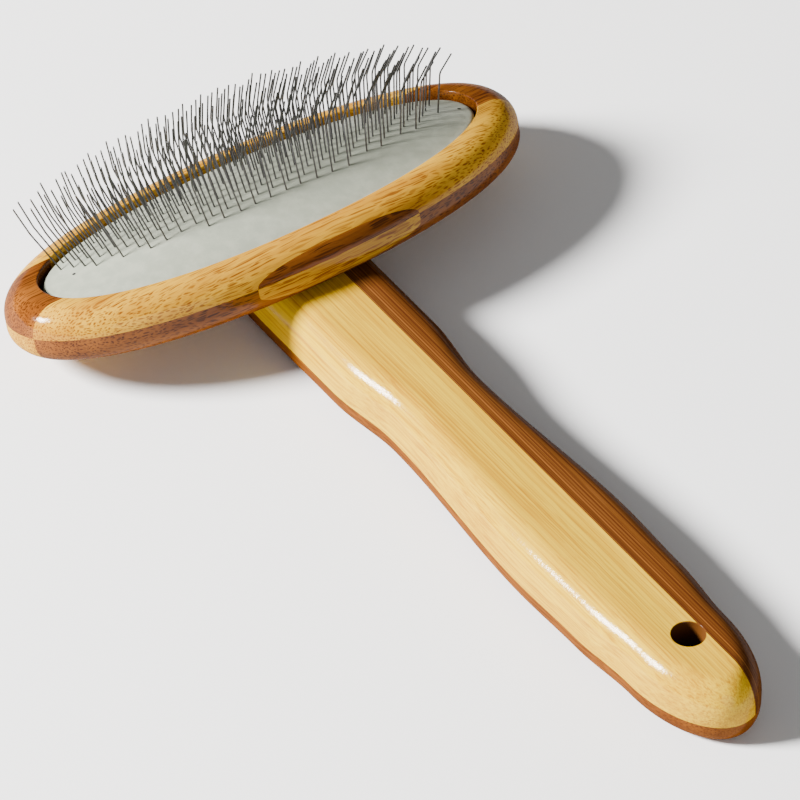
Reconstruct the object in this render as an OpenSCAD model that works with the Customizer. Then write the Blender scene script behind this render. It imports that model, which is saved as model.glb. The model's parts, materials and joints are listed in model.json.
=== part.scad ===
/* [Head] */
// Length of the oval head, across the handle
head_len = 114; // [100:1:130]
// Width of the oval head, along the handle
head_wid = 48.7; // [44:0.1:56]
// Thickness of the head's upper bamboo layer
upper_t = 5.5; // [5.4:0.1:7]
// Thickness of the head's lower bamboo layer
lower_t = 5.9; // [5:0.1:7]
// Squareness of the oval, where 2 is an ellipse
oval_power = 2.16; // [2:0.02:2.4]
// Radius of the rounded upper outer edge
round_top = 5.3; // [3:0.1:5.3]
// Radius of the rounded lower outer edge
round_low = 4.2; // [2:0.1:4.6]
// Angle between the head's face and the handle
head_tilt = 18; // [12:0.5:22]

/* [Strips] */
// Joint between the front cap strip and the front strip
cap_y = -23; // [-23.6:0.1:-21]
// Joint between the front strip and the middle strip
front_y = -5; // [-8:0.1:-3]
// Joint between the middle strip and the back strip
back_y = 10.7; // [8:0.1:13]
// Offset of the handle's light and dark joint from its centre line
handle_joint_x = 3; // [2:0.1:5]

/* [Recess] */
// Length of the recess for the pad
recess_len = 98.4; // [86:0.1:102]
// Width of the recess for the pad
recess_wid = 36.6; // [32:0.1:40]
// Depth of the recess
recess_d = 7.6; // [7:0.1:8.4]

/* [Handle] */
// Length of the whole brush
brush_len = 180; // [170:1:190]
// Thickness of the handle
handle_t = 13.7; // [12.5:0.1:14]
// Thickness of the handle's lower layer
handle_low_t = 5.2; // [4:0.1:6]
// Half width where the handle leaves the head
neck_hw = 12.4; // [11:0.1:14]
// Half width at the finger waist
waist_hw = 10.6; // [9:0.1:12]
// Half width at the palm
palm_hw = 13.2; // [12:0.1:15]
// Half width where the rounded end starts
end_hw = 11.6; // [10:0.1:12.5]
// Length of the rounded end
end_len = 20.4; // [14:0.1:24]
// Diameter of the hanging hole
hole_d = 6.4; // [4:0.1:7]
// Distance of the hanging hole from the handle's end
hole_back = 18; // [14:0.5:24]

/* [Pad and pins] */
// Gap between the pad and the wall of the recess
pad_gap = 0.8; // [0.4:0.1:1.2]
// Height of the pad's crown above the head's face
pad_crown = 2.4; // [0.8:0.1:3]
// Travel of the pad when it is pressed
pad_travel = 2; // [1:0.1:2.2]
// Diameter of a pin wire
wire_d = 0.45; // [0.4:0.05:0.6]
// Distance between pins in one row
pin_pitch = 4; // [3.6:0.1:5]
// Distance between rows of pins
row_pitch = 2.1; // [1.9:0.1:2.2]
// Length of a pin below its bend
pin_low = 8.6; // [7:0.1:10]
// Length of a pin above its bend
pin_high = 6; // [4:0.1:7]
// Lean of the middle pins away from the handle, below the bend
lean_low = 15; // [4:1:18]
// Lean of the middle pins towards the handle, above the bend
lean_high = 22; // [15:1:30]
// Sideways lean of the pins at the ends of the pad
fan = 24; // [15:1:28]
// Extra lean per millimetre from the front row to the back row
row_fan = 0.5; // [0:0.1:0.7]

/* [Hidden] */

light = "#d9b56a";
dark = "#8f5a2c";
eps = 0.01;
far = 300;
head_a = head_len / 2;
head_b = head_wid / 2;
recess_a = recess_len / 2;
recess_b = recess_wid / 2;
head_t = upper_t + lower_t;
oval_steps = 80;
arc_steps = 7;

// The head's lowest edge and the flat handle rest on one plane, z = 0
head_z = sin(head_tilt) * (head_b - round_low) + cos(head_tilt) * (head_t - round_low) + round_low;
head_reach = cos(head_tilt) * (head_b - round_top) - sin(head_tilt) * round_top + round_top;
head_y = brush_len / 2 - head_reach;
end_y = -brush_len / 2;

// Pad levels, measured from the head's face
pad_under = -3.6;
backing_t = 0.6;
gasket_top = pad_under - backing_t - pad_travel - 0.3;
gasket_w = 2.4;
pad_edge = -1.5;
vent_x = 41.8;
vent_d = 1.2;

// Screws that hold the handle under the head
screw_y = [-14, 0.5];
screw_d = 3;
screw_head_d = 5.6;
screw_head_t = 1.7;
screw_len = 9;

// The pin field and the dome of the pad
field_a = 42.5;
field_b = 12.4;
field_y = 3.6;
rows = 12;
dome_power = 2.4;
dome_steps = 7;
pad_a = recess_a - pad_gap;
pad_b = recess_b - pad_gap;

// Handle outline: distance behind the head's centre, half width
handle_start = -12;
knots = [
    [handle_start, neck_hw - 1.2], [20, neck_hw], [43, neck_hw], [60, waist_hw],
    [105, palm_hw], [122, palm_hw - 0.4],
    [head_y - end_y - end_len, end_hw]
];
edge_x = 6;
edge_z = 7.6;
under_x = 3.6;
under_z = 4.4;
side_steps = 30;
end_steps = 14;

function oval_points(a, b) = [
    for (i = [0 : oval_steps - 1])
        let (t = 360 * i / oval_steps, c = cos(t), s = sin(t), k = 2 / oval_power)
        [a * sign(c) * pow(abs(c), k), b * sign(s) * pow(abs(s), k)]
];

// How far the head's side is inset at height z below its face
function head_inset(z) =
    z > -round_top ? round_top - sqrt(max(0, round_top ^ 2 - (z + round_top) ^ 2)) :
    z < round_low - head_t ? round_low - sqrt(max(0, round_low ^ 2 - (z + head_t - round_low) ^ 2)) : 0;

// Heights of the slices through each layer, closer together where the side turns in
upper_levels = concat([-upper_t],
    [for (i = [0 : arc_steps]) round_top * (sin(90 * i / arc_steps) - 1)]);
lower_levels = concat([for (i = [arc_steps : -1 : 0])
    round_low * (1 - sin(90 * i / arc_steps)) - head_t], [-upper_t]);
handle_levels = concat(
    [-1], [for (i = [arc_steps : -1 : 0]) under_z * (1 - sin(90 * i / arc_steps))],
    [for (i = [0 : arc_steps]) handle_t + edge_z * (sin(90 * i / arc_steps) - 1)], [handle_t + 1]);

// Smooth half width between two knots
function ease(u) = u * u * (3 - 2 * u);
function half_width(d, i = 0) =
    i >= len(knots) - 2 || d <= knots[i + 1][0] ?
        let (p = knots[i], q = knots[i + 1], u = (d - p[0]) / (q[0] - p[0]))
        p[1] + (q[1] - p[1]) * ease(min(1, max(0, u))) :
        half_width(d, i + 1);

// How far the handle's side is inset at height z
function handle_inset(z) =
    z > handle_t - edge_z ?
        edge_x * (1 - sqrt(max(0, 1 - ((z - handle_t + edge_z) / edge_z) ^ 2))) :
    z < under_z ? under_x * (1 - sqrt(max(0, 1 - ((under_z - z) / under_z) ^ 2))) : 0;

// One side of the handle's outline at inset d, from the head to the tip
function handle_side(d) = concat(
    [for (i = [0 : side_steps])
        let (k = knots[0][0] + (knots[len(knots) - 1][0] - knots[0][0]) * i / side_steps)
        [half_width(k) - d, head_y - k]],
    [for (i = [1 : end_steps])
        let (t = 90 * i / end_steps)
        [(end_hw - d) * cos(t), end_y + end_len - (end_len - d) * sin(t)]]
);
function mirrored(p) = [for (i = [len(p) - 2 : -1 : 0]) [-p[i][0], p[i][1]]];
function handle_ring(z) = let (s = handle_side(handle_inset(z))) concat(s, mirrored(s));

// A closed solid through rings of equal length, each one counterclockwise from above
module skin(rings) {
    n = len(rings[0]);
    m = len(rings);
    points = [for (r = rings) each r];
    sides = [for (j = [0 : m - 2], i = [0 : n - 1])
        let (p = j * n + i, q = j * n + (i + 1) % n)
        each [[p, p + n, q + n], [p, q + n, q]]];
    caps = [[for (i = [0 : n - 1]) i], [for (i = [n - 1 : -1 : 0]) (m - 1) * n + i]];
    polyhedron(points, concat(sides, caps), convexity = 4);
}

module handle_body() {
    skin([for (z = handle_levels)
        let (ring = handle_ring(z))
        [for (k = [len(ring) - 1 : -1 : 0]) [ring[k][0], ring[k][1], z]]]);
}

module at_head() {
    translate([0, head_y, head_z]) rotate([-head_tilt, 0, 0]) children();
}

function oval_ring(a, b, z) = [for (p = oval_points(a, b)) [p[0], p[1], z]];

module head_layer(levels) {
    skin([for (z = levels) oval_ring(head_a - head_inset(z), head_b - head_inset(z), z)]);
}

module recess() {
    translate([0, 0, -recess_d]) linear_extrude(recess_d + 1) polygon(oval_points(recess_a, recess_b));
}

module strip(y0, y1) {
    translate([-far / 2, y0, -far / 2]) cube([far, y1 - y0, far]);
}

module upper_strip(y0, y1) {
    difference() {
        intersection() {
            head_layer(upper_levels);
            strip(y0, y1);
        }
        recess();
    }
}

module lower_strip(y0, y1) {
    difference() {
        intersection() {
            head_layer(lower_levels);
            strip(y0, y1);
        }
        recess();
        screw_holes();
    }
}

module screw_holes() {
    for (y = screw_y) {
        translate([0, y, -head_t - far / 2]) cylinder(d = screw_d, h = far / 2 + head_t, $fn = 32);
        translate([0, y, -recess_d - screw_head_t])
            cylinder(d1 = screw_d, d2 = screw_head_d, h = screw_head_t, $fn = 32);
    }
}

module upper_end(side) {
    intersection() {
        upper_strip(front_y, back_y);
        translate([side > 0 ? 0 : -far, -far / 2, -far / 2]) cube([far, far, far]);
    }
}

module upper_front_light() { color(light) at_head() upper_strip(cap_y, front_y); }
module upper_back_light() { color(light) at_head() upper_strip(back_y, head_wid); }
module upper_left_dark() { color(dark) at_head() upper_end(-1); }
module upper_right_dark() { color(dark) at_head() upper_end(1); }
module upper_cap_dark() { color(dark) at_head() upper_strip(-head_wid, cap_y); }
module lower_front_dark() { color(dark) at_head() lower_strip(cap_y, front_y); }
module lower_back_dark() { color(dark) at_head() lower_strip(back_y, head_wid); }
module lower_middle_light() { color(light) at_head() lower_strip(front_y, back_y); }
module lower_cap_light() { color(light) at_head() lower_strip(-head_wid, cap_y); }

// The handle's top is cut to fit the head's flat underside and its rounded front edge
module seat_cut() {
    at_head() {
        translate([-far / 2, round_low - head_b, -head_t]) cube([far, far, far]);
        translate([-far / 2, round_low - head_b, round_low - head_t]) rotate([0, 90, 0])
            cylinder(r = round_low, h = far, $fn = 64);
        translate([-far / 2, -head_b, round_low - head_t]) cube([far, far, far]);
    }
}

module hang_hole() {
    translate([0, end_y + hole_back, -1]) cylinder(d = hole_d, h = handle_t + 2, $fn = 64);
}

module pilot_holes() {
    at_head() {
        for (y = screw_y) {
            translate([0, y, -recess_d - screw_len]) cylinder(d = screw_d, h = screw_len, $fn = 32);
        }
    }
}

module handle_piece(x0, x1, z0, z1) {
    difference() {
        intersection() {
            handle_body();
            translate([x0, -far / 2, z0]) cube([x1 - x0, far, z1 - z0]);
        }
        seat_cut();
        hang_hole();
        pilot_holes();
    }
}

module handle_top_light() {
    color(light) handle_piece(-far, handle_joint_x, handle_low_t, handle_t);
}
module handle_top_dark() {
    color(dark) handle_piece(handle_joint_x, far, handle_low_t, handle_t);
}
module handle_lower_dark() {
    color(dark) handle_piece(-far, far, 0, handle_low_t);
}

module handle_screws() {
    color("silver") at_head() {
        for (y = screw_y) {
            translate([0, y, -recess_d - screw_len]) cylinder(d = screw_d, h = screw_len - eps, $fn = 32);
            translate([0, y, -recess_d - screw_head_t])
                cylinder(d1 = screw_d, d2 = screw_head_d, h = screw_head_t, $fn = 32);
        }
    }
}

module pad_face() {
    color("#9aa094") at_head() difference() {
        skin(concat([oval_ring(pad_a, pad_b, pad_under)],
            [for (i = [0 : dome_steps])
                let (r = 1 - 0.92 * i / dome_steps)
                oval_ring(pad_a * r, pad_b * r, dome(r))]));
        for (x = [-vent_x, vent_x]) {
            translate([x, 0, pad_under - 1]) cylinder(d = vent_d, h = 8, $fn = 24);
        }
    }
}

module pad_backing() {
    color("#4a4a48") at_head() translate([0, 0, pad_under - backing_t]) linear_extrude(backing_t)
        polygon(oval_points(pad_a - 0.4, pad_b - 0.4));
}

module edge_gasket() {
    color("#202020") at_head() translate([0, 0, -recess_d]) linear_extrude(gasket_top + recess_d)
        difference() {
            polygon(oval_points(recess_a, recess_b));
            polygon(oval_points(recess_a - gasket_w, recess_b - gasket_w));
        }
}

// Height of the pad's dome at radius r, where 1 is the pad's edge
function dome(r) = pad_edge + (pad_crown - pad_edge) * (1 - pow(min(1, r), dome_power));
function pad_top(x, y) =
    dome(pow(pow(abs(x) / pad_a, oval_power) + pow(abs(y) / pad_b, oval_power), 1 / oval_power));

// Direction of a wire at x and y, leaning away from the handle by lean in the middle row
function wire_dir(x, y, lean) =
    let (side = fan * x / field_a, back = lean + row_fan * (y - field_y))
    [sin(side), cos(side) * sin(back), cos(side) * cos(back)];
function wire_foot(x, y) = [x, y, pad_top(x, y)];
function wire_root(x, y) =
    let (foot = wire_foot(x, y), d = wire_dir(x, y, lean_low))
    foot - d * (foot[2] - pad_under + backing_t) / d[2];
function wire_bend(x, y) = wire_foot(x, y) + wire_dir(x, y, lean_low) * pin_low;
function wire_tip(x, y) = wire_bend(x, y) + wire_dir(x, y, -lean_high) * pin_high;

module wire(p, q) {
    v = q - p;
    translate(p) rotate([0, acos(v[2] / norm(v)), atan2(v[1], v[0])])
        cylinder(d = wire_d, h = norm(v), $fn = 6);
}

// A row of staples: each one is two pins joined by a bar behind the pad
module pin_row(j) {
    off = (j - (rows + 1) / 2) * row_pitch;
    y = field_y + off;
    half = field_a * sqrt(1 - (off / field_b) ^ 2);
    shift = j % 2 == 0 ? 0 : pin_pitch / 2;
    first = ceil((-half - shift) / pin_pitch);
    last = floor((half - shift) / pin_pitch);
    xs = [for (i = [first : last]) i * pin_pitch + shift];
    color("#5c5f62") at_head() {
        for (i = [0 : len(xs) - 1]) {
            wire(wire_root(xs[i], y), wire_bend(xs[i], y));
            wire(wire_bend(xs[i], y), wire_tip(xs[i], y));
            if (i % 2 == 0 && i < len(xs) - 1) {
                wire(wire_root(xs[i], y), wire_root(xs[i + 1], y));
            }
        }
    }
}

module pin_row_01() { pin_row(1); }
module pin_row_02() { pin_row(2); }
module pin_row_03() { pin_row(3); }
module pin_row_04() { pin_row(4); }
module pin_row_05() { pin_row(5); }
module pin_row_06() { pin_row(6); }
module pin_row_07() { pin_row(7); }
module pin_row_08() { pin_row(8); }
module pin_row_09() { pin_row(9); }
module pin_row_10() { pin_row(10); }
module pin_row_11() { pin_row(11); }
module pin_row_12() { pin_row(12); }

upper_front_light();
upper_back_light();
upper_left_dark();
upper_right_dark();
upper_cap_dark();
lower_front_dark();
lower_back_dark();
lower_middle_light();
lower_cap_light();
handle_top_light();
handle_top_dark();
handle_lower_dark();
handle_screws();
pad_face();
pad_backing();
edge_gasket();
pin_row_01();
pin_row_02();
pin_row_03();
pin_row_04();
pin_row_05();
pin_row_06();
pin_row_07();
pin_row_08();
pin_row_09();
pin_row_10();
pin_row_11();
pin_row_12();
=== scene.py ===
import json
import math
import random

import bmesh
import bpy
from mathutils import Matrix, Vector


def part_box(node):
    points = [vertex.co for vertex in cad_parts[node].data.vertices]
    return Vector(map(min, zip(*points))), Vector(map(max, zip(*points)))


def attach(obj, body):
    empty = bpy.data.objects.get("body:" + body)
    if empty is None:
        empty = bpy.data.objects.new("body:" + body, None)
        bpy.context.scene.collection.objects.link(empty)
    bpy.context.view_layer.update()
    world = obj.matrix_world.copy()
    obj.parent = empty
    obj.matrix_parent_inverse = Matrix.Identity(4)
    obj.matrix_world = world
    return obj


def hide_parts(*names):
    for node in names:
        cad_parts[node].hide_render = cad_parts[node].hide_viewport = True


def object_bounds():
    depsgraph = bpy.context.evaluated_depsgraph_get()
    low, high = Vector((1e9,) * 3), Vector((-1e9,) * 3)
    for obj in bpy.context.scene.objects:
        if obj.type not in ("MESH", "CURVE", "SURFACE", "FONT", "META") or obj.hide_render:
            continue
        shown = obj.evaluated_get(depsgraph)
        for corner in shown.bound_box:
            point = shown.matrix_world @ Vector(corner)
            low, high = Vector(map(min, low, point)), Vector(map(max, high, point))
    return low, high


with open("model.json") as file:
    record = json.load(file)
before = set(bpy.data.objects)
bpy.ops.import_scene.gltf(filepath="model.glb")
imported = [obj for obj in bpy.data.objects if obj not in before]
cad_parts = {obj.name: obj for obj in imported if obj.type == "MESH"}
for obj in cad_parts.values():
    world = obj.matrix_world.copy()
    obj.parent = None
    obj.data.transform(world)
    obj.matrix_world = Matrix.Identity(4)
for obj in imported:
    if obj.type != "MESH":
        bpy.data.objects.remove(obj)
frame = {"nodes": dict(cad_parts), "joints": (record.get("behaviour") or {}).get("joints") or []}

# A slicker brush that lies on its handle. +Y runs from the hanging hole to the head.
# Sizes are in millimetres in each piece's own frame, and MM turns them into metres.
MM = 0.001
cad_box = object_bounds()

# ---- The head's frame: origin at the middle of its face, Z out of the face ----
PAD_UNDER = -3.6
BACKING_T = 0.6
press = Vector(next(j for j in frame["joints"] if j["name"] == "cushion_press")["axis"])
tilt = math.atan2(-press.y, -press.z)
low, high = (Vector(v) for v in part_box("pad_backing"))
to_face = press * (PAD_UNDER - BACKING_T / 2) * MM
HEAD = Matrix.Translation((low + high) / 2 + to_face) @ Matrix.Rotation(-tilt, 4, "X")

# ---- Sizes that the solids give ----
low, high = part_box("handle_lower_dark")
TIP_Y = low[1] / MM
LAYER_Z = high[2] / MM
low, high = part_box("handle_top_light")
JOINT_X = high[0] / MM
TOP_Z = high[2] / MM
HEAD_Y = HEAD.translation.y / MM

# ---- Sizes of the head, the same as the solids have ----
HEAD_A, HEAD_B = 57.0, 24.35
HEAD_T = 11.4
UPPER_T = 5.5
ROUND_TOP, ROUND_LOW = 5.3, 4.2
RECESS_A, RECESS_B, RECESS_D = 49.2, 18.3, 7.6
RECESS_LIP = 0.4
OVAL_POWER = 2.16
OVAL_POINTS = 288
# The strips' edges across the head, and the slope of the front cap's edge
CAP_Y, FRONT_Y, BACK_Y = -23.3, -5.0, 10.7
CAP_SKEW = 0.0146
# The pad, a little smaller than the recess and crowned in the middle
PAD_GAP = 0.8
PAD_A, PAD_B = RECESS_A - PAD_GAP, RECESS_B - PAD_GAP
PAD_EDGE, PAD_CROWN = -1.5, 3.5
DOME_POWER = 2.2
PAD_ROUND_LOW, PAD_ROUND_TOP = 0.3, 0.5


# ---- Mesh helpers ----
def turns(n):
    """n equal steps round a circle, in radians."""
    return [2 * math.pi * i / n for i in range(n)]


def quarter(n):
    """n equal steps from 0 to 90 degrees, in radians."""
    return [math.radians(90 * i / n) for i in range(n + 1)]


def ring(a, b, z):
    """A superellipse of half axes a and b at height z."""
    k = 2 / OVAL_POWER
    out = []
    for t in turns(OVAL_POINTS):
        c, s = math.cos(t), math.sin(t)
        out.append(Vector((a * math.copysign(abs(c) ** k, c), b * math.copysign(abs(s) ** k, s), z)))
    return out


def skin(rings, cap_first=False, cap_last=False):
    """A bmesh through rings of equal length, with a cap on its first or last ring if asked."""
    bm = bmesh.new()
    rows = [[bm.verts.new(p * MM) for p in r] for r in rings]
    n = len(rows[0])
    for p, q in zip(rows, rows[1:]):
        for i in range(n):
            j = (i + 1) % n
            bm.faces.new((p[i], p[j], q[j], q[i]))
    if cap_first:
        bm.faces.new(list(reversed(rows[0])))
    if cap_last:
        bm.faces.new(rows[-1])
    bmesh.ops.recalc_face_normals(bm, faces=bm.faces)
    return bm


def cut(bm, point, normal):
    """Keeps the side that the normal points away from. The point is in millimetres."""
    geom = bm.verts[:] + bm.edges[:] + bm.faces[:]
    bmesh.ops.bisect_plane(bm, geom=geom, plane_co=Vector(point) * MM, plane_no=normal, clear_outer=True)


def as_object(name, bm):
    """A linked object with the bmesh's faces. The bmesh is freed."""
    mesh = bpy.data.meshes.new(name)
    bm.to_mesh(mesh)
    bm.free()
    obj = bpy.data.objects.new(name, mesh)
    bpy.context.collection.objects.link(obj)
    return obj


def piece(name, bm, material, matrix=None, sharp=35):
    """A smooth-shaded piece whose edges over sharp degrees stay crisp."""
    obj = as_object(name, bm)
    for face in obj.data.polygons:
        face.use_smooth = True
    obj.data.set_sharp_from_angle(angle=math.radians(sharp))
    obj.data.materials.append(material)
    obj.matrix_world = matrix or Matrix.Identity(4)
    return obj


# ---- Material helpers ----
def fill(tree, socket, value):
    """Links a socket to a node's output, or sets it to a number, colour or vector."""
    if isinstance(value, bpy.types.NodeSocket):
        tree.links.new(value, socket)
    elif socket.type == "RGBA" and len(value) == 3:
        socket.default_value = (*value, 1)
    else:
        socket.default_value = value


class Graph:
    """A material's node tree, with a short method for each kind of node."""

    def __init__(self, name):
        self.material = bpy.data.materials.new(name)
        self.material.use_nodes = True
        self.tree = self.material.node_tree
        self.tree.nodes.clear()

    def add(self, kind, inputs=None, **props):
        node = self.tree.nodes.new(kind)
        for key, value in props.items():
            setattr(node, key, value)
        for key, value in (inputs or {}).items():
            fill(self.tree, node.inputs[key], value)
        return node

    def place(self, shift=(0, 0, 0)):
        """The point in the piece's own frame, in millimetres, moved by shift."""
        where = self.add("ShaderNodeTexCoord").outputs["Object"]
        return self.scaled(where, (1 / MM,) * 3, shift)

    def scaled(self, vector, scale, shift=(0, 0, 0)):
        node = self.add("ShaderNodeMapping", {"Vector": vector, "Scale": scale, "Location": shift})
        return node.outputs["Vector"]

    def math(self, op, a, b):
        return self.add("ShaderNodeMath", {0: a, 1: b}, operation=op).outputs[0]

    def vector(self, op, a, b):
        return self.add("ShaderNodeVectorMath", {0: a, 1: b}, operation=op).outputs[0]

    def smooth(self, value, start, end):
        """Rises smoothly from 0 at start to 1 at end."""
        node = self.add(
            "ShaderNodeMapRange",
            {"Value": value, "From Min": start, "From Max": end},
            interpolation_type="SMOOTHSTEP",
        )
        return node.outputs["Result"]

    def mix(self, factor, a, b):
        return self.add("ShaderNodeMix", {0: factor, 6: a, 7: b}, data_type="RGBA").outputs[2]

    def over(self, under, top, mask, strength):
        """Lays the colour top on the colour under where the mask is 1."""
        return self.mix(self.math("MULTIPLY", mask, strength), under, top)

    def noise(self, vector, scale=1.0, detail=2.0, rough=0.5, output="Fac"):
        node = self.add(
            "ShaderNodeTexNoise",
            {"Vector": vector, "Scale": scale, "Detail": detail, "Roughness": rough},
        )
        return node.outputs[output]

    def bump(self, height, strength, distance):
        """A bump whose distance is in millimetres."""
        inputs = {"Height": height, "Strength": strength, "Distance": distance * MM}
        return self.add("ShaderNodeBump", inputs).outputs[0]

    def shader(self, color, rough, **inputs):
        """Ends the tree. The other inputs are the shader's socket names with _ for a space."""
        node = self.add("ShaderNodeBsdfPrincipled", {"Base Color": color, "Roughness": rough})
        for key, value in inputs.items():
            fill(self.tree, node.inputs[key.replace("_", " ")], value)
        out = self.add("ShaderNodeOutputMaterial")
        self.tree.links.new(node.outputs[0], out.inputs[0])
        return self.material


def tinted(color, factor):
    return tuple(factor * c for c in color)


# ---- Bamboo: a solid texture of fibre bundles under lacquer ----
# The colours of each wood: its ground where pale, where deep, and its fibres
LIGHT = ((0.47, 0.255, 0.014), (0.345, 0.157, 0.008), (0.14, 0.038, 0.003))
DARK = ((0.18, 0.057, 0.0075), (0.115, 0.032, 0.004), (0.022, 0.0045, 0.001))
HANDLE_LIGHT = ((0.56, 0.352, 0.009), (0.46, 0.258, 0.004), (0.27, 0.1, 0.003))
HANDLE_DARK = ((0.125, 0.045, 0.01), (0.09, 0.029, 0.006), (0.03, 0.007, 0.002))
BAND_DARK = (0.045, 0.01, 0.003)
# The painted shade on the wall inside the hanging hole
BORE_SHADE = (0.075, 0.026, 0.006)
BUNDLES_PER_MM = 2.1
BANDS_PER_MM = 1.9


def stretch(grain, along, across):
    """A scale per millimetre along the grain, which is "X" or "Y", and across it."""
    return (along, across, across) if grain == "X" else (across, along, across)


def cross_axis(grain):
    """The index of the level axis across the grain."""
    return 1 if grain == "X" else 0


def sway_grain(g, mm, grain, sway):
    """The point moved by up to about half of sway, so that the grain bends a little."""
    drift = g.noise(g.scaled(mm, stretch(grain, 0.03, 0.12)), 5.0, 1.0, output="Color")
    drift = g.vector("SUBTRACT", drift, (0.5, 0.5, 0.5))
    drift = g.vector("MULTIPLY", drift, (sway,) * 3)
    return g.vector("ADD", mm, drift)


def bundles(g, mm, warped, grain):
    """1 in a fibre bundle: a round dot on end grain, and a dash along the grain."""
    axes = g.add("ShaderNodeSeparateXYZ", {0: warped}).outputs
    across = g.add("ShaderNodeCombineXYZ", {0: axes[cross_axis(grain)], 1: axes[2]}).outputs[0]
    cells = g.add(
        "ShaderNodeTexVoronoi",
        {"Vector": across, "Scale": BUNDLES_PER_MM, "Randomness": 0.85},
        voronoi_dimensions="2D",
    )
    size = g.noise(g.scaled(mm, stretch(grain, 0.02, 0.2)), 1.0, 1.0)
    radius = g.math("ADD", g.math("MULTIPLY", size, 0.36), 0.2)
    ratio = g.math("DIVIDE", cells.outputs["Distance"], radius)
    inside = g.math("SUBTRACT", 1.0, g.smooth(ratio, 0.5, 1.05))
    tone = g.add("ShaderNodeSeparateColor", {0: cells.outputs["Color"]}).outputs[0]
    return g.math("MULTIPLY", inside, g.math("ADD", g.math("MULTIPLY", tone, 0.5), 0.5))


def add_streaks(g, color, warped, grain, wood, strength):
    """Long thin fibres, darker and paler than the ground."""
    pale, _, fibre = wood
    streak = g.noise(g.scaled(warped, stretch(grain, 0.012, 1.7)), 1.0, 4.0, 0.7)
    color = g.over(color, fibre, g.smooth(streak, 0.5, 0.68), strength)
    return g.over(color, pale, g.smooth(streak, 0.47, 0.32), strength)


def add_bands(g, color, mm, grain, wood, strength):
    """The dark and worn lines of a board pressed from strips set side by side."""
    side = g.add("ShaderNodeSeparateXYZ", {0: mm}).outputs[cross_axis(grain)]
    line = g.add("ShaderNodeCombineXYZ", {0: g.math("MULTIPLY", side, BANDS_PER_MM)}).outputs[0]
    band = g.noise(line, 1.0, 3.0, 0.7)
    color = g.over(color, BAND_DARK, g.smooth(band, 0.52, 0.57), strength)
    return g.over(color, tinted(wood[0], 1.7), g.smooth(band, 0.47, 0.4), strength * 0.7)


def add_bore_shade(g, color, centre, radius):
    """Painted shade: a darker wall inside an upright hole."""
    flat = g.scaled(g.place(), (1, 1, 0), (-centre[0], -centre[1], 0))
    reach = g.add("ShaderNodeVectorMath", {0: flat}, operation="LENGTH").outputs["Value"]
    return g.mix(g.smooth(reach, radius + 0.3, radius + 0.05), color, BORE_SHADE)


def bamboo(name, seed, grain, wood, dots, sway=1.2, streaks=0.0, bands=0.0, bore=None, gloss=0.12):
    """Lacquered bamboo whose fibres run along the grain axis, "X" or "Y".

    dots is the strength of the bundles, sway how far the grain wanders, streaks and
    bands the strengths of long fibres and of a board's lines, bore a hole's centre and
    radius, whose wall gets painted shade, and gloss the lacquer's weight.
    """
    g = Graph(name)
    rng = random.Random(seed)
    mm = g.place(tuple(rng.uniform(-40, 40) for _ in range(3)))
    warped = sway_grain(g, mm, grain, sway)
    bundle = bundles(g, mm, warped, grain)
    hair = g.noise(g.scaled(warped, stretch(grain, 0.04, 4.2)), 1.0, 3.0, 0.65)
    patch = g.noise(g.scaled(warped, stretch(grain, 0.018, 0.22)), 1.0, 2.0)

    pale, deep, fibre = wood
    color = g.mix(g.smooth(patch, 0.3, 0.7), pale, deep)
    color = g.over(color, fibre, g.smooth(hair, 0.42, 0.75), 0.45)
    color = g.over(color, fibre, bundle, dots)
    if streaks:
        color = add_streaks(g, color, warped, grain, wood, streaks)
    if bands:
        color = add_bands(g, color, mm, grain, wood, bands)
    # Painted shade on the wall inside the hole
    if bore:
        color = add_bore_shade(g, color, *bore)

    relief = g.math("ADD", g.math("MULTIPLY", bundle, -0.4), hair)
    return g.shader(
        color,
        0.42,
        Normal=g.bump(relief, 0.12, 0.1),
        Specular_IOR_Level=0.0,
        Coat_Weight=gloss,
        Coat_IOR=2.0,
        Coat_Roughness=0.13,
        Coat_Normal=g.bump(g.noise(mm, 1.1, 3.0, 0.6), 0.18, 0.2),
    )


def wood_piece(node, bm, material, matrix=None, sharp=35):
    """A piece of the brush's body that stands for a CAD node."""
    obj = piece(node + "_wood", bm, material, matrix, sharp)
    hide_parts(node)
    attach(obj, "brush")


# ---- Head: two glued layers, each of strips along X ----
def outer(inset, z):
    return ring(HEAD_A - inset, HEAD_B - inset, z)


def inner(outset, z):
    return ring(RECESS_A + outset, RECESS_B + outset, z)


def upper_layer():
    """The recess wall, its rounded lip, and the rounded rim out to the glue line."""
    rings = [inner(0, -UPPER_T), inner(0, -2.5)]
    rings += [inner(RECESS_LIP * (1 - math.cos(t)), RECESS_LIP * (math.sin(t) - 1)) for t in quarter(4)]
    rings += [outer(ROUND_TOP * (1 - math.sin(t)), ROUND_TOP * (math.cos(t) - 1)) for t in quarter(18)]
    rings += [outer(0, -UPPER_T)]
    return skin(rings)


def lower_layer():
    """The recess floor, the glue line, and the rounded underside."""
    rings = [ring(RECESS_A * k, RECESS_B * k, -RECESS_D) for k in (0.02, 0.5)]
    rings += [inner(0, -RECESS_D), inner(0, -UPPER_T), outer(0, -UPPER_T)]
    rings += [
        outer(ROUND_LOW * (1 - math.cos(t)), ROUND_LOW * (1 - math.sin(t)) - HEAD_T) for t in quarter(14)
    ]
    rings += [ring(HEAD_A * k, HEAD_B * k, -HEAD_T) for k in (0.5, 0.02)]
    return skin(rings)


def strip(node, layer, front, back, material, end=0):
    """The part of a layer between two edges across it. end is -1 or 1 for one end only."""
    bm = layer()
    for y, way in ((front, -1), (back, 1)):
        if y is not None:
            skew = CAP_SKEW if y == CAP_Y else 0
            cut(bm, (0, y, 0), (-skew * way, way, 0))
    if end:
        cut(bm, (0, 0, 0), (-end, 0, 0))
    wood_piece(node, bm, material, HEAD)


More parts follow.
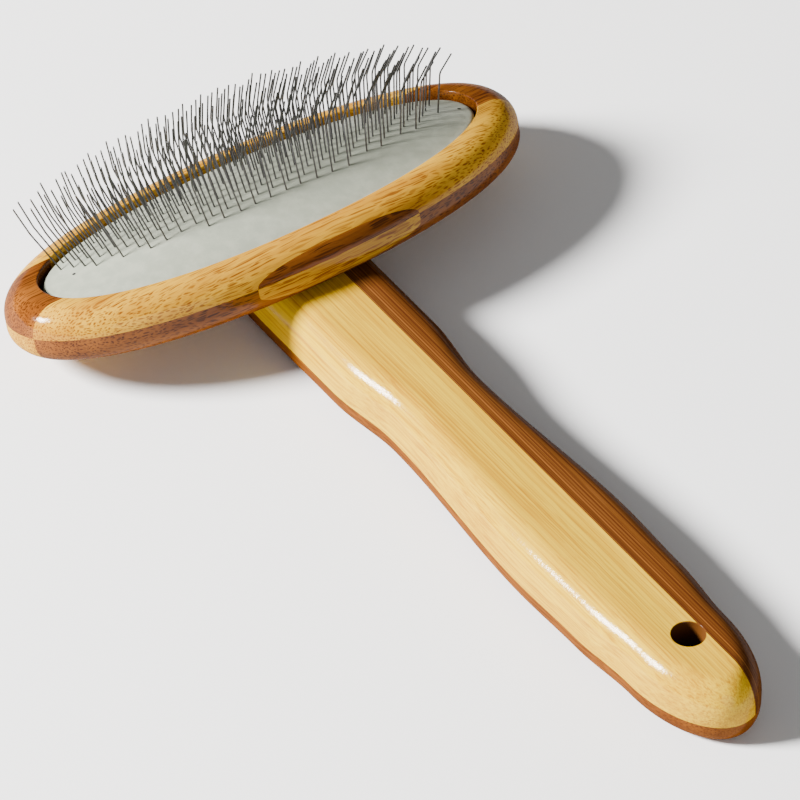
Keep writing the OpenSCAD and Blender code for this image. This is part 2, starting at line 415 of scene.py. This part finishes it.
def head_bamboo(name, seed, wood):
    return bamboo(name, seed, "X", wood, dots=1.0 if wood is LIGHT else 0.9)


strip("upper_front_light", upper_layer, CAP_Y, FRONT_Y, head_bamboo("head_light_1", 3, LIGHT))
strip("upper_back_light", upper_layer, BACK_Y, None, head_bamboo("head_light_2", 8, LIGHT))
strip("upper_left_dark", upper_layer, FRONT_Y, BACK_Y, head_bamboo("head_dark_1", 5, DARK), -1)
strip("upper_right_dark", upper_layer, FRONT_Y, BACK_Y, head_bamboo("head_dark_2", 12, DARK), 1)
strip("upper_cap_dark", upper_layer, None, CAP_Y, head_bamboo("head_dark_3", 14, DARK))
strip("lower_front_dark", lower_layer, CAP_Y, FRONT_Y, head_bamboo("head_dark_4", 21, DARK))
strip("lower_back_dark", lower_layer, BACK_Y, None, head_bamboo("head_dark_5", 23, DARK))
strip("lower_middle_light", lower_layer, FRONT_Y, BACK_Y, head_bamboo("head_light_3", 27, LIGHT))
strip("lower_cap_light", lower_layer, None, CAP_Y, head_bamboo("head_light_4", 31, LIGHT))

# ---- Handle ----
# Half widths of the neck, waist, palm and end, and the length of the rounded end
NECK, WAIST, PALM, END_W = 12.4, 10.6, 13.2, 11.6
END_L = 20.4
END_D = HEAD_Y - TIP_Y - END_L
# Each knot is a distance from the head's middle towards the tip, and the half width there
KNOTS = [
    (-12, NECK - 1.2),
    (20, NECK),
    (43, NECK),
    (60, WAIST),
    (105, PALM),
    (122, PALM - 0.4),
    (END_D, END_W),
]
EDGE_X, EDGE_Z = 6.0, 7.6
UNDER_X, UNDER_Z = 3.6, 4.4
HOLE_Y, HOLE_R = TIP_Y + 18, 3.2
HOLE_LIP = 0.25
SEAT_OVERLAP = 2
# The hanging hole's centre and radius, where the handle's woods get painted shade
BORE = ((0, HOLE_Y), HOLE_R)


def half_width(d):
    """The half width at distance d, which eases from knot to knot."""
    for (d0, w0), (d1, w1) in zip(KNOTS, KNOTS[1:]):
        if d <= d1:
            u = min(1, max(0, (d - d0) / (d1 - d0)))
            return w0 + (w1 - w0) * u * u * (3 - 2 * u)
    return END_W


def handle_ring(inset, z):
    """The handle's outline at height z: down one side, round the tip and back."""
    start = KNOTS[0][0]
    steps = 110
    side = []
    for i in range(steps + 1):
        d = start + (END_D - start) * i / steps
        side.append((half_width(d) - inset, HEAD_Y - d))
    for t in quarter(30)[1:]:
        side.append(((END_W - inset) * math.cos(t), TIP_Y + END_L - (END_L - inset) * math.sin(t)))
    outline = side + [(-x, y) for x, y in reversed(side[:-1])]
    return [Vector((x, y, z)) for x, y in outline]


def handle_blank():
    rings = []
    for t in reversed(quarter(12)):
        rings.append(handle_ring(UNDER_X * (1 - math.cos(t)), UNDER_Z * (1 - math.sin(t))))
    for t in quarter(20):
        rings.append(handle_ring(EDGE_X * (1 - math.cos(t)), TOP_Z + EDGE_Z * (math.sin(t) - 1)))
    return skin(rings, cap_first=True, cap_last=True)


def hole_drill():
    """A drill that flares a little at both faces of the handle."""
    profile = [(HOLE_R + HOLE_LIP + 1, -1)]
    profile += [
        (HOLE_R + HOLE_LIP * (1 - math.sin(t)), HOLE_LIP * (1 - math.cos(t))) for t in quarter(5)
    ]
    profile += [(r, TOP_Z - z) for r, z in reversed(profile)]
    rings = []
    for r, z in profile:
        rings.append([Vector((r * math.cos(t), HOLE_Y + r * math.sin(t), z)) for t in turns(72)])
    return skin(rings, cap_first=True, cap_last=True)


def handle_body():
    """The drilled handle, cut to the head's slope a little inside the head."""
    blank = as_object("body", handle_blank())
    drill = as_object("drill", hole_drill())
    bore = blank.modifiers.new("bore", "BOOLEAN")
    bore.operation = "DIFFERENCE"
    bore.object = drill
    bore.solver = "EXACT"
    graph = bpy.context.evaluated_depsgraph_get()
    drilled = bmesh.new()
    drilled.from_mesh(blank.evaluated_get(graph).to_mesh())
    bpy.data.objects.remove(blank)
    bpy.data.objects.remove(drill)
    seat = (HEAD @ Vector((0, 0, (SEAT_OVERLAP - HEAD_T) * MM))) / MM
    cut(drilled, seat, HEAD.to_3x3() @ Vector((0, 0, 1)))
    return drilled


body = handle_body()


def board(node, material, planes):
    """The part of the handle behind each plane, given as a point and a normal."""
    bm = body.copy()
    for point, normal in planes:
        cut(bm, point, normal)
    wood_piece(node, bm, material, sharp=30)


above_layer = ((0, 0, LAYER_Z), (0, 0, -1))
below_layer = ((0, 0, LAYER_Z), (0, 0, 1))
left_of_joint = ((JOINT_X, 0, 0), (1, 0, 0))
right_of_joint = ((JOINT_X, 0, 0), (-1, 0, 0))
board(
    "handle_top_light",
    bamboo("handle_light", 41, "Y", HANDLE_LIGHT, dots=0.45, sway=0.3, streaks=0.6, bore=BORE),
    [above_layer, left_of_joint],
)
board(
    "handle_top_dark",
    bamboo(
        "handle_dark", 44, "Y", HANDLE_DARK,
        dots=0.3, sway=0.2, streaks=0.5, bands=0.9, bore=BORE, gloss=0.04,
    ),
    [above_layer, right_of_joint],
)
board(
    "handle_lower_dark",
    bamboo("handle_base", 47, "Y", DARK, dots=0.5, sway=0.4, bore=BORE, gloss=0.05),
    [below_layer],
)
body.free()


# ---- Pad: a domed rubber cushion ----
def rubber():
    g = Graph("pad_rubber")
    mm = g.place()
    mottle = g.noise(mm, 0.35, 4.0, 0.6)
    grit = g.noise(mm, 5.0, 2.0, 0.7)
    color = g.mix(g.smooth(mottle, 0.35, 0.7), (0.23, 0.248, 0.195), (0.275, 0.29, 0.23))
    color = g.over(color, (0.16, 0.17, 0.135), g.smooth(grit, 0.55, 0.8), 0.35)
    return g.shader(color, 0.5, Normal=g.bump(grit, 0.15, 0.1))


def dome(reach):
    """The pad's height where reach is 0 at its centre and 1 at its edge."""
    return PAD_EDGE + (PAD_CROWN - PAD_EDGE) * (1 - min(1, reach) ** DOME_POWER)


def pad_reach(x, y):
    return ((abs(x) / PAD_A) ** OVAL_POWER + (abs(y) / PAD_B) ** OVAL_POWER) ** (1 / OVAL_POWER)


def pad_top(x, y):
    return dome(pad_reach(x, y))


def pad_ring(reach, z):
    return ring(PAD_A * reach, PAD_B * reach, z)


def pad_body():
    """The flat underside's edge, the wall, the rounded edge and the dome."""
    rings = [ring(PAD_A - PAD_ROUND_LOW, PAD_B - PAD_ROUND_LOW, PAD_UNDER)]
    rings += [pad_ring(1, PAD_UNDER + PAD_ROUND_LOW), pad_ring(1, PAD_EDGE - PAD_ROUND_TOP)]
    edge = 1 - PAD_ROUND_TOP / PAD_B
    rise = dome(edge) - PAD_EDGE + PAD_ROUND_TOP
    for t in quarter(5):
        reach = 1 - (1 - edge) * (1 - math.cos(t))
        rings.append(pad_ring(reach, PAD_EDGE - PAD_ROUND_TOP + rise * math.sin(t)))
    steps = 40
    for i in range(1, steps + 1):
        reach = edge * (1 - 0.99 * i / steps)
        rings.append(pad_ring(reach, dome(reach)))
    return skin(rings, cap_first=True, cap_last=True)


pad = piece("pad_rubber", pad_body(), rubber(), HEAD, 60)
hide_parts("pad_face")
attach(pad, "pad")

# ---- Vents: small dark discs just proud of the pad, painted shade that stands in for the holes ----
VENT_R = 0.36
VENTS = {"left": (-41.6, 1.6), "right": (46.0, -1.3)}
g = Graph("vent_painted_shade")
# Painted shade: a near-black colour in place of the shaded inside of each vent hole
VENT_SHADE = g.shader(g.mix(g.noise(g.place(), 3.0), (0.006, 0.006, 0.006), (0.016, 0.015, 0.014)), 0.9)
for end, (x, y) in VENTS.items():
    rings = []
    for r, lift in ((VENT_R, 0.03), (VENT_R * 0.5, 0.05)):
        spots = [(x + r * math.cos(t), y + r * math.sin(t)) for t in turns(24)]
        rings.append([Vector((u, v, pad_top(u, v) + lift)) for u, v in spots])
    vent = piece("vent_" + end, skin(rings, cap_last=True), VENT_SHADE, HEAD)
    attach(vent, "pad")

# ---- Pins: bent wires in staggered rows ----
# The field is an ellipse with half axes FIELD_A and FIELD_B, and its rows slope a little
FIELD_A, FIELD_B, FIELD_Y = 43.5, 12.4, 3.7
FIELD_SLOPE = 0.03
EDGE_REACH = 0.93
ROWS = 12
ROW_PITCH, ROW_SHIFT = 2.1, 0.31
PIN_PITCH = 3.5
MOST_STEPS = 14
# A wire's radius, the share of it that the tip keeps, and the length that narrows to the tip
WIRE_R = 0.175
TIP_WIDTH, TIP_NARROW = 0.35, 0.08
# The legs below and above the bend, the root inside the pad, and the bend's reach along each leg
LOWER_LEG, UPPER_LEG = 9.2, 7.3
ROOT, BEND = 2.5, 0.7
# The fan's angle in degrees at FAN_X from the middle, and how much less it is at the right end
FAN, FAN_X, LESS_FAN = 22, 42, 8
# A leg's lean in degrees at the field's front, for each mm behind it, and what each end adds
LOWER_LEAN = {"front": 8, "per_mm": 0.45, "left": 5, "right": -14}
UPPER_LEAN = {"front": -26, "per_mm": 0.3, "left": 20, "right": -12}
# How much shorter the legs are at the right end
SHORTER_LOWER, SHORTER_UPPER = 1.0, 1.9
rng = random.Random(17)


def wire():
    g = Graph("pin_steel")
    tone = g.noise(g.place(), 0.8, 2.0)
    return g.shader(g.mix(tone, (0.05, 0.05, 0.052), (0.16, 0.16, 0.16)), 0.3, Metallic=1.0)


def sweep(bm, path, radius, n=8):
    """A round wire along a path, with a narrowed tip and an open root inside the pad."""
    rows = []
    for i, p in enumerate(path):
        a, b = path[max(i - 1, 0)], path[min(i + 1, len(path) - 1)]
        d = (b - a).normalized()
        u = d.orthogonal().normalized()
        v = d.cross(u)
        r = radius * (TIP_WIDTH if i == len(path) - 1 else 1)
        rows.append([bm.verts.new((p + (u * math.cos(t) + v * math.sin(t)) * r) * MM) for t in turns(n)])
    for p, q in zip(rows, rows[1:]):
        for k in range(n):
            bm.faces.new((p[k], p[(k + 1) % n], q[(k + 1) % n], q[k]))
    bm.faces.new(rows[-1])


def direction(side, lean):
    """The head's Z turned by side degrees towards +X and lean degrees towards +Y."""
    s, e = math.radians(side), math.radians(lean)
    return Vector((math.sin(s), math.cos(s) * math.sin(e), math.cos(s) * math.cos(e)))


def leg_lean(leg, depth, left, right):
    """A leg's lean in degrees at depth millimetres behind the front of the field."""
    return leg["front"] + leg["per_mm"] * depth + leg["left"] * left + leg["right"] * right


def pin_path(x, y, row_y):
    """A wire from its root in the pad over its bend to its tip.

    The wires fan out to both ends of the head, and each row further back leans back
    more. At the left end they lean back more still, and at the right end they lean
    forward and are shorter.
    """
    x += rng.gauss(0, 0.08)
    y += rng.gauss(0, 0.08)
    foot = Vector((x, y, pad_top(x, y)))
    depth = row_y + FIELD_B
    out = x / FAN_X
    left, right = max(0, -out) ** 2, max(0, out) ** 2
    side = FAN * out - LESS_FAN * right + rng.gauss(0, 0.8)
    d_low = direction(side, leg_lean(LOWER_LEAN, depth, left, right) + rng.gauss(0, 0.8))
    d_high = direction(side, leg_lean(UPPER_LEAN, depth, left, right) + rng.gauss(0, 1.6))
    bend = foot + d_low * (LOWER_LEG - SHORTER_LOWER * right + rng.gauss(0, 0.15))
    tip = bend + d_high * (UPPER_LEG - SHORTER_UPPER * right + rng.gauss(0, 0.2))
    path = [foot - d_low * ROOT, foot, bend - d_low * BEND]
    path += [bend - d_low * BEND * (1 - k) ** 2 + d_high * BEND * k * k for k in (0.25, 0.5, 0.75)]
    return path + [bend + d_high * BEND, tip - d_high * TIP_NARROW, tip]


def pin_row(j):
    """The wires of row j, counted from the front, as one bmesh."""
    bm = bmesh.new()
    from_middle = j - (ROWS - 1) / 2
    row_y = from_middle * ROW_PITCH
    half = FIELD_A * math.sqrt(1 - (row_y / FIELD_B) ** 2)
    shift = PIN_PITCH / 2 * (j % 2) + ROW_SHIFT * from_middle
    for i in range(-MOST_STEPS, MOST_STEPS + 1):
        x = i * PIN_PITCH + shift
        y = row_y + FIELD_Y - FIELD_SLOPE * x
        if abs(x) <= half and pad_reach(x, y) <= EDGE_REACH:
            sweep(bm, pin_path(x, y, row_y), WIRE_R)
    bmesh.ops.recalc_face_normals(bm, faces=bm.faces)
    return bm


WIRE = wire()
for j in range(ROWS):
    row = piece("pins_%02d" % (j + 1), pin_row(j), WIRE, HEAD, 50)
    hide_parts("pin_row_%02d" % (j + 1))
    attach(row, "pad")


# ---- Hidden pieces keep their solids and get their own materials ----
def foam():
    g = Graph("gasket_foam")
    pores = g.noise(g.place(), 2.0, 3.0, 0.7)
    return g.shader(g.mix(pores, (0.012, 0.012, 0.012), (0.05, 0.05, 0.05)), 0.9)


def cloth():
    g = Graph("backing_cloth")
    weave = g.add("ShaderNodeTexWave", {"Vector": g.place(), "Scale": 1.2, "Distortion": 0.4})
    return g.shader(g.mix(weave.outputs["Fac"], (0.04, 0.04, 0.04), (0.09, 0.09, 0.085)), 0.95)


def steel():
    g = Graph("screw_steel")
    turned = g.noise(g.scaled(g.place(), (1, 1, 6)), 1.0, 2.0)
    return g.shader(g.mix(turned, (0.5, 0.5, 0.5), (0.65, 0.65, 0.66)), 0.35, Metallic=1.0)


for node, material in (("edge_gasket", foam()), ("pad_backing", cloth()), ("handle_screws", steel())):
    mesh = frame["nodes"][node].data
    mesh.materials.clear()
    mesh.materials.append(material)

# ---- Table ----
g = Graph("table")
tone = g.noise(g.place(), 0.01, 3.0)
TABLE = g.shader(g.mix(tone, (0.85, 0.85, 0.86), (0.89, 0.89, 0.895)), 0.7)
bm = bmesh.new()
bmesh.ops.create_grid(bm, x_segments=2, y_segments=2, size=3.0)
floor = piece("table", bm, TABLE)

# ---- Light: a warm key from the left behind the head, and a wide fill from the handle's end ----
world = bpy.data.worlds.new("studio")
bpy.context.scene.world = world
world.use_nodes = True
background = world.node_tree.nodes["Background"]
background.inputs["Color"].default_value = (1.0, 1.0, 1.0, 1)
background.inputs["Strength"].default_value = 0.215
middle = (Vector(cad_box[0]) + Vector(cad_box[1])) / 2


def lamp(name, way, distance, size, power, color):
    """A disc lamp that shines along way on the middle of the brush."""
    data = bpy.data.lights.new(name, "AREA")
    data.shape = "DISK"
    data.size = size
    data.energy = power
    data.color = color
    obj = bpy.data.objects.new(name, data)
    bpy.context.collection.objects.link(obj)
    way = Vector(way).normalized()
    obj.location = middle - way * distance
    obj.rotation_euler = way.to_track_quat("-Z", "Y").to_euler()


lamp("key", (16.6, -8.9, -12.1), 1.6, 0.42, 162, (1.0, 0.985, 0.96))
lamp("fill", (0.25, 1.0, -0.3), 2.2, 1.4, 16, (1.0, 0.98, 0.95))

# ---- Camera: a long lens on the handle's side, from the left and above ----
CAMERA_RIGHT = Vector((0.8187, -0.5741, 0.0157))
CAMERA_BACK = Vector((-0.4234, -0.5850, 0.6919))
CAMERA_TARGET = Vector((-0.0275, -0.01745, 0.0451))
CAMERA_DISTANCE = 2.2177
camera = bpy.data.objects.new("camera", bpy.data.cameras.new("camera"))
bpy.context.collection.objects.link(camera)
camera.data.lens = 540
camera.data.sensor_width = 36
camera.data.clip_end = 20
up = CAMERA_BACK.cross(CAMERA_RIGHT).normalized()
right = up.cross(CAMERA_BACK).normalized()
back = CAMERA_BACK.normalized()
turn = Matrix((right, up, back)).transposed().to_4x4()
camera.matrix_world = Matrix.Translation(CAMERA_TARGET + back * CAMERA_DISTANCE) @ turn
bpy.context.scene.camera = camera
